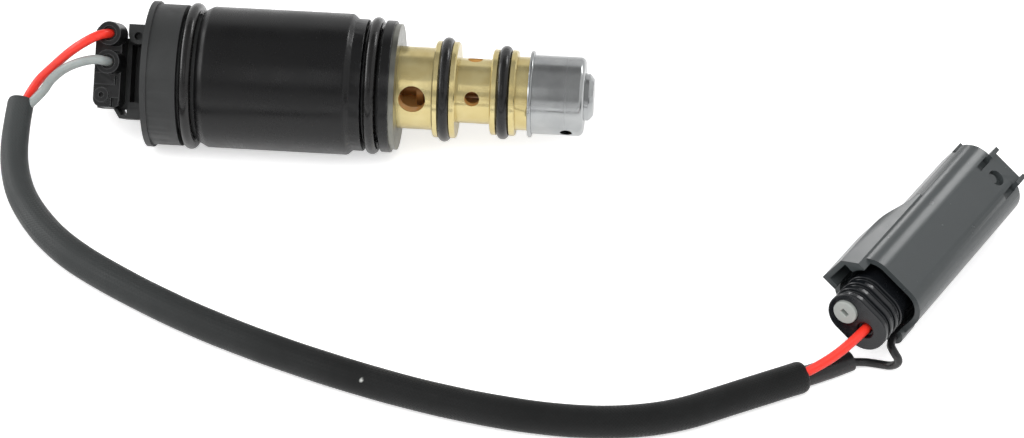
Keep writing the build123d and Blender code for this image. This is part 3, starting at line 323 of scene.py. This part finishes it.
def dressed(node, width, segments=2, angle=28.0):
    """A CAD node's mesh, its triangles joined and its sharp edges rounded."""
    source = frame["nodes"][node]
    work = bmesh.new()
    work.from_mesh(source.data)
    bmesh.ops.remove_doubles(work, verts=work.verts, dist=1e-6)
    bmesh.ops.dissolve_limit(work, angle_limit=math.radians(0.5), verts=work.verts, edges=work.edges)
    mesh = bpy.data.meshes.new(node + "_dressed")
    work.to_mesh(mesh)
    work.free()
    thing = piece(node + "_dressed", mesh, SLOT_OF[node], source["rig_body"], (node,))
    rounding = thing.modifiers.new("edges", "BEVEL")
    rounding.width = width * MM
    rounding.segments = segments
    rounding.limit_method = "ANGLE"
    rounding.angle_limit = math.radians(angle)
    rounding.harden_normals = True
    mesh.shade_smooth()
    mesh.set_sharp_from_angle(angle=math.radians(angle))
    return thing


def cord_curve(name, route, radius, slot, replaces):
    """One smooth spline through the route's control points, round in section."""
    data = bpy.data.curves.new(name, "CURVE")
    data.dimensions = "3D"
    line = data.splines.new("NURBS")
    line.points.add(len(route) - 1)
    for point, place in zip(line.points, route):
        point.co = (place[0] * MM, place[1] * MM, place[2] * MM, 1.0)
    line.order_u = 3
    line.use_endpoint_u = True
    data.resolution_u = 24
    data.bevel_depth = radius * MM
    data.bevel_resolution = 8
    data.use_fill_caps = True
    data.materials.append(MATERIALS[slot])
    thing = bpy.data.objects.new(name, data)
    bpy.context.scene.collection.objects.link(thing)
    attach(thing, VALVE)
    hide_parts(*replaces)
    return thing


def spline_points(route):
    """Evenly spaced points of the smooth spline whose control points are the route's."""
    data = bpy.data.curves.new("path", "CURVE")
    data.dimensions = "3D"
    line = data.splines.new("NURBS")
    line.points.add(len(route) - 1)
    line.points.foreach_set("co", np.column_stack([np.array(route) * MM, np.ones(len(route))]).ravel())
    line.order_u = 3
    line.use_endpoint_u = True
    data.resolution_u = 32
    thing = bpy.data.objects.new("path", data)
    mesh = bpy.data.meshes.new_from_object(thing)
    points = np.empty(3 * len(mesh.vertices))
    mesh.vertices.foreach_get("co", points)
    points = points.reshape(-1, 3)
    for block, store in ((thing, bpy.data.objects), (data, bpy.data.curves), (mesh, bpy.data.meshes)):
        store.remove(block)
    run = np.concatenate([[0.0], np.cumsum(np.linalg.norm(np.diff(points, axis=0), axis=1))])
    even = np.linspace(0.0, run[-1], int(run[-1] / (0.3 * MM)) + 1)
    return even, np.column_stack([np.interp(even, run, points[:, k]) for k in range(3)])


def grid_mesh(name, places, uv=None, ends=(False, False)):
    """A mesh from a grid of places, its second direction closed, with optional caps at either end."""
    rows, columns = places.shape[:2]
    index = np.arange(rows * columns).reshape(rows, columns)
    right = np.roll(index, -1, axis=1)
    quads = np.stack([index[:-1], right[:-1], right[1:], index[1:]], axis=-1).reshape(-1, 4)
    faces = [tuple(q) for q in quads.tolist()]
    if ends[0]:
        faces.append(tuple(index[0][::-1].tolist()))
    if ends[1]:
        faces.append(tuple(index[-1].tolist()))
    mesh = bpy.data.meshes.new(name)
    mesh.from_pydata(places.reshape(-1, 3).tolist(), [], faces)
    if uv is not None:
        u = np.broadcast_to(uv[:, None], (rows, columns))
        v = np.broadcast_to(np.arange(columns) / columns, (rows, columns))
        nearer = np.stack([u[:-1], u[:-1], u[1:], u[1:]], axis=-1).reshape(-1)
        step = v[:-1] + 1.0 / columns
        around = np.stack([v[:-1], step, step, v[:-1]], axis=-1).reshape(-1)
        flat = np.column_stack([nearer, around])
        spare = np.zeros((len(mesh.loops) - len(flat), 2))
        layer = mesh.uv_layers.new(name="UVMap")
        layer.data.foreach_set("uv", np.vstack([flat, spare]).ravel())
    mesh.shade_smooth()
    mesh.validate()
    return mesh


# Routes in millimetres, as the solids have them, from the valve to the connector
RED_LEAD_ROUTE = [(-7.49, 1.80, 8.15), (-7.91, -1.27, 10.73), (-10.22, -3.03, 11.23), (-15.27, -3.66, 7.74),
                  (-19.74, -2.60, 2.36), (-23.92, -2.47, -2.29), (-26.3, -6.2, -6.2)]
GREY_LEAD_ROUTE = [(-7.49, -1.86, 3.78), (-7.91, -4.94, 6.36), (-10.45, -5.80, 7.60), (-16.03, -5.17, 4.86),
                   (-19.90, -4.83, 0.92), (-21.5, -5.3, -2.05), (-24.65, -7.1, -4.55)]
HARNESS_ROUTE = [(-26.1, -5.5, -4.0), (-26.6, -11.8, -7.8), (-25.5, -19.8, -10.8), (-21.6, -29.4, -11.7),
                 (-12.4, -41.6, -11.7), (1.5, -51.6, -11.7), (20.5, -62.4, -11.7), (44.0, -72.2, -11.7),
                 (68.0, -79.6, -11.7), (91.0, -83.0, -11.7), (108.5, -80.7, -11.7), (122.0, -73.0, -11.7),
                 (134.0, -66.3, -11.7)]
RED_LEAD_PLUG_ROUTE = [(132.6, -67.4, -11.0), (137.87, -66.28, -8.26), (144.11, -62.99, -3.42),
                       (146.56, -58.08, -3.80)]
SHRINK_ROUTE = [(133.4, -65.6, -12.8), (138.4, -63.0, -12.8), (142.6, -60.0, -12.8)]
BLACK_LEAD_ROUTE = [(141.8, -60.6, -12.8), (144.9, -59.2, -13.6), (148.0, -59.4, -13.8), (150.6, -60.5, -13.2),
                    (151.9, -61.5, -11.0), (150.6, -61.2, -9.0), (149.6, -58.82, -8.6), (151.77, -54.47, -8.93)]
LEAD_R, BLACK_LEAD_R, HARNESS_R, SHRINK_R = 0.95, 0.8, 3.1, 2.0
# The sleeve's girth as a share of its radius, at distances from its mouth at the valve
GIRTH = [(0, 0.87), (10, 0.885), (20, 0.93), (33, 1.0), (45, 1.035), (80, 1.02), (130, 1.0), (200, 0.99)]

leads = [
    cord_curve("red_lead_at_valve", RED_LEAD_ROUTE, LEAD_R, "red_insulation", ["red_lead_valve_end"]),
    cord_curve("grey_lead_at_valve", GREY_LEAD_ROUTE, LEAD_R, "grey_insulation", ["grey_lead_valve_end"]),
    cord_curve("red_lead_at_connector", RED_LEAD_PLUG_ROUTE, LEAD_R, "red_insulation", ["red_lead_plug_end"]),
    cord_curve("shrink_tubing", SHRINK_ROUTE, SHRINK_R, "black_tubing", ["shrink_tube"]),
    cord_curve("black_lead_loop", BLACK_LEAD_ROUTE, BLACK_LEAD_R, "black_tubing", ["black_lead"]),
]


def sleeve_mesh():
    """The braided sleeve: a circle of radius r(s, t) swept along the spline, turned in at both mouths.

    s is the distance along the spline and t the angle about it. r is the sleeve's radius times a
    smooth run through the shares in girth, less a slow waviness of a hundredth, with a swelling
    over the tubing that leaves the far mouth. At each mouth the wall closes over a quarter of an
    ellipse, dome long and fall deep, and runs back inside to a closed floor.
    """
    along, points = spline_points(HARNESS_ROUTE)
    total = along[-1]
    tangent = np.gradient(points, along, axis=0)
    tangent /= np.linalg.norm(tangent, axis=1)[:, None]
    side = np.cross(tangent, (0.0, 0.0, 1.0))
    side /= np.linalg.norm(side, axis=1)[:, None]
    up = np.cross(side, tangent)
    t = np.linspace(0.0, 2 * np.pi, 112, endpoint=False)
    dome, fall = 1.3 * MM, 0.62 * MM
    bow = np.linspace(0.0, np.pi / 2, 9)
    mouth_s = np.concatenate([np.array([1.4, 0.8, 0.3, 0.06]) * MM, dome * (1 - np.cos(bow))])
    mouth_in = np.concatenate([np.array([0.85, 0.85, 0.83, 0.74]) * MM, fall * (1 - np.sin(bow))])
    body = along[(along > 1.15 * dome) & (along < total - 1.15 * dome)]
    s = np.concatenate([mouth_s, body, (total - mouth_s)[::-1]])
    sunk = np.concatenate([mouth_in, np.zeros(len(body)), mouth_in[::-1]])
    centre, sides, ups = (
        np.column_stack([np.interp(s, along, field[:, k]) for k in range(3)]) for field in (points, side, up))
    wave = 0.5 + 0.25 * np.sin(s * 520.0) + 0.25 * np.sin(s * 203.0 + 1.3)
    reach, share = np.array(GIRTH).T
    knots = np.arange(-12, 13) * MM
    girth = np.mean([np.interp(s + k, reach * MM, share) for k in knots], axis=0)
    lump = np.clip((s - total + 6 * MM) / (6 * MM), 0.0, 1.0) ** 2
    swell = 0.42 * MM * lump[:, None] * np.maximum(0.0, np.cos(t - np.radians(232.0)))[None]
    radius = (HARNESS_R * MM * girth * (1.0 - 0.012 * wave) - sunk)[:, None] + swell
    places = centre[:, None] + radius[..., None] * (
        np.cos(t)[None, :, None] * sides[:, None] + np.sin(t)[None, :, None] * ups[:, None])
    places[..., 2] = np.maximum(places[..., 2], FLOOR_Z)
    return grid_mesh("braided_sleeve", places, s / (0.72 * MM), (True, True))


sleeve = piece("braided_sleeve", sleeve_mesh(), "woven_sleeve", VALVE, ("harness_sleeve",))

# ---------------------------------------------------------------------------
# Rigid pieces that keep the CAD form
# ---------------------------------------------------------------------------
for node, width in (
    ("rear_cap", 0.18), ("coil_housing", 0.2), ("valve_body", 0.1), ("end_cap", 0.15),
    ("valve_plug_housing", 0.2), ("connector_housing", 0.25), ("connector_seal", 0.3), ("cavity_plug", 0.2),
):
    dressed(node, width)

spline_points(HARNESS_ROUTE)[1].tolist()

# ---------------------------------------------------------------------------
# Floor, light and camera
# ---------------------------------------------------------------------------
floor_mesh = bpy.data.meshes.new("floor")
floor_mesh.from_pydata([(-4, -4, FLOOR_Z), (4, -4, FLOOR_Z), (4, 4, FLOOR_Z), (-4, 4, FLOOR_Z)], [], [(0, 1, 2, 3)])
floor = bpy.data.objects.new("floor", floor_mesh)
bpy.context.scene.collection.objects.link(floor)
white = Finish("white floor", Roughness=0.9)
white.set("Base Color", (0.86, 0.86, 0.86, 1.0))
paths = white.add("LightPath").node.outputs
seen = white.sums("ADD", paths["Is Camera Ray"], white.sums("MULTIPLY", paths["Is Glossy Ray"], 0.38))
white.set("Emission Color", (1.0, 1.0, 1.0, 1.0))
white.set("Emission Strength", white.sums("MULTIPLY", seen, 0.55))
white.set("Specular IOR Level", 0.0)
floor_mesh.materials.append(white.material)

world = bpy.data.worlds.new("studio")
bpy.context.scene.world = world
world.use_nodes = True
nodes, links = world.node_tree.nodes, world.node_tree.links
nodes.clear()
direction = nodes.new("ShaderNodeTexCoord")
levels = []
for axis, edge, level in ((CEILING_AXIS, (0.49, 0.56), (0.95, 0.30)), (FRONT_AXIS, (0.62, 0.86), (0.0, 0.19))):
    height = nodes.new("ShaderNodeVectorMath")
    height.operation = "DOT_PRODUCT"
    height.inputs[1].default_value = axis
    ceiling = nodes.new("ShaderNodeMapRange")
    ceiling.interpolation_type = "SMOOTHSTEP"
    for socket, value in zip(("From Min", "From Max", "To Min", "To Max"), edge + level):
        ceiling.inputs[socket].default_value = value
    links.new(direction.outputs["Generated"], height.inputs[0])
    links.new(height.outputs["Value"], ceiling.inputs["Value"])
    levels.append(ceiling.outputs[0])
parts = nodes.new("ShaderNodeSeparateXYZ")
links.new(direction.outputs["Generated"], parts.inputs[0])
sideways = nodes.new("ShaderNodeMath")
sideways.operation = "ABSOLUTE"
links.new(parts.outputs[0], sideways.inputs[0])
wings = nodes.new("ShaderNodeMapRange")
wings.interpolation_type = "SMOOTHSTEP"
for socket, value in zip(("From Min", "From Max", "To Min", "To Max"), (0.36, 0.56, 0.0, 0.95)):
    wings.inputs[socket].default_value = value
links.new(sideways.outputs[0], wings.inputs["Value"])
lighter = nodes.new("ShaderNodeMath")
lighter.operation = "MAXIMUM"
links.new(levels[0], lighter.inputs[0])
links.new(wings.outputs[0], lighter.inputs[1])
both = nodes.new("ShaderNodeMath")
links.new(lighter.outputs[0], both.inputs[0])
links.new(levels[1], both.inputs[1])
path = nodes.new("ShaderNodeLightPath")
to_white = nodes.new("ShaderNodeMix")
background = nodes.new("ShaderNodeBackground")
out = nodes.new("ShaderNodeOutputWorld")
links.new(path.outputs["Is Camera Ray"], to_white.inputs[0])
links.new(both.outputs[0], to_white.inputs[2])
to_white.inputs[3].default_value = 1.0
links.new(to_white.outputs[0], background.inputs["Strength"])
links.new(background.outputs[0], out.inputs["Surface"])


def softbox(name, place, target, width, height, power):
    """A soft rectangular lamp at one place, turned to another."""
    lamp = bpy.data.lights.new(name, "AREA")
    lamp.shape = "RECTANGLE"
    lamp.size, lamp.size_y, lamp.energy = width, height, power
    thing = bpy.data.objects.new(name, lamp)
    bpy.context.scene.collection.objects.link(thing)
    thing.location = place
    thing.rotation_euler = (Vector(target) - Vector(place)).to_track_quat("-Z", "Y").to_euler()
    return thing


MIDDLE = (0.06, -0.03, 0.0)
softbox("key", (0.06, -0.36, 0.52), MIDDLE, 0.9, 0.4, 4.0).visible_glossy = False
softbox("streak", (0.405, 0.36, 0.322), (0.155, -0.04, 0.0), 0.2, 0.12, 0.5).visible_diffuse = False
band = softbox("housing_band", (-0.041, -0.42, 0.42), (0.02, 0.0, 0.0), 0.074, 0.24, 0.08)
band.visible_diffuse = band.visible_camera = False
left = softbox("left", (-0.53, 0.07, 0.235), (0.012, 0.0, 0.0), 0.64, 0.2, 1.6)
left.visible_diffuse = left.visible_camera = False
wing_light = softbox("wing_light", (0.12, 0.19, 0.087), (0.155, -0.04, 0.0), 0.04, 0.04, 0.0005)
wing_light.visible_diffuse = wing_light.visible_camera = False
wing_light.data.spread = math.radians(20.0)

view = bpy.data.cameras.new("camera")
camera = bpy.data.objects.new("camera", view)
bpy.context.scene.collection.objects.link(camera)
camera.location = (0.1216, -0.5536, 0.4332)
camera.rotation_euler = (math.radians(50.0), 0.0, math.radians(5.0))
view.lens = 123.05
view.sensor_fit = "HORIZONTAL"
view.sensor_width = 36.0
bpy.context.scene.camera = camera
bpy.context.scene.view_settings.view_transform = "Standard"
